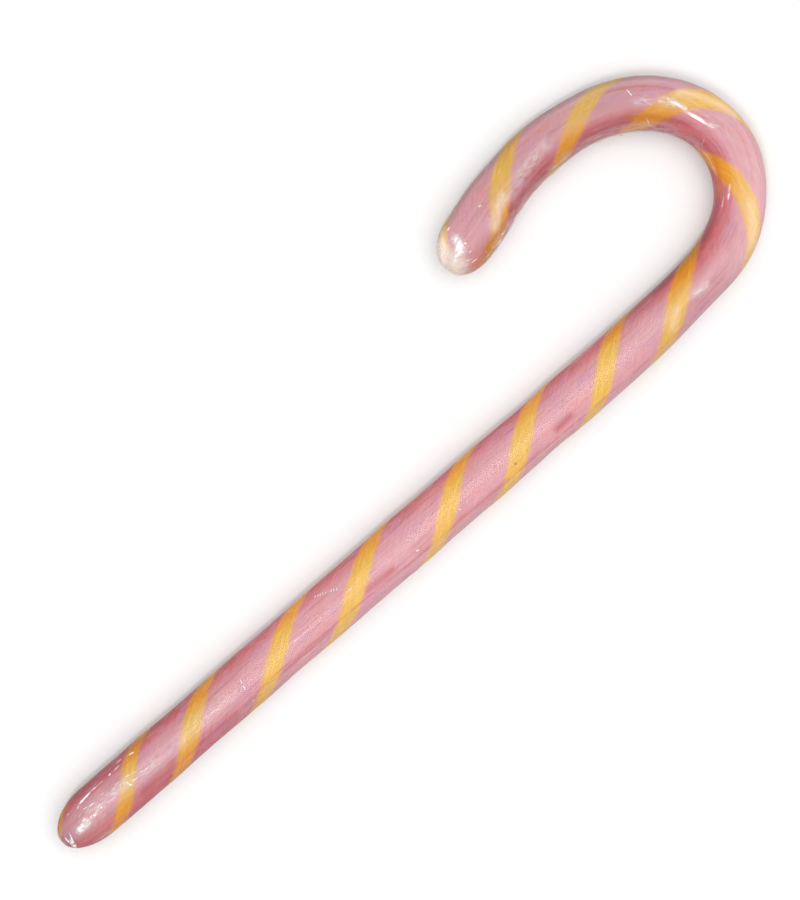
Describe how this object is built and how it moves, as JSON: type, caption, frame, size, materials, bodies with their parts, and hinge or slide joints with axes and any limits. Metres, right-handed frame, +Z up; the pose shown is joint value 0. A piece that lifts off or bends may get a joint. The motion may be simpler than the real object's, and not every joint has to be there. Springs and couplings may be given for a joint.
{
  "type": "candy cane",
  "caption": "Hooked stick of hard candy with a spiral stripe, sealed in tight clear film, lying on its side.",
  "frame": {"origin": "middle of the bounding box seen from above, on the surface that the cane lies on", "axes": "+Z up out of the shown side, +Y along the straight stem from the foot to the hook, the hook turns over towards -X"},
  "size_m": [0.038, 0.1418, 0.0082],
  "materials": {
    "candy": "pulled hard sugar, rose pink with two golden stripes wound round it, silky streaks along it, glossy",
    "wrapper_film": "thin clear shrink film, glossy, frosty where it puckers at the ends"
  },
  "bodies": {
    "root": {"candy_cane": "candy"}
  },
  "joints": []
}
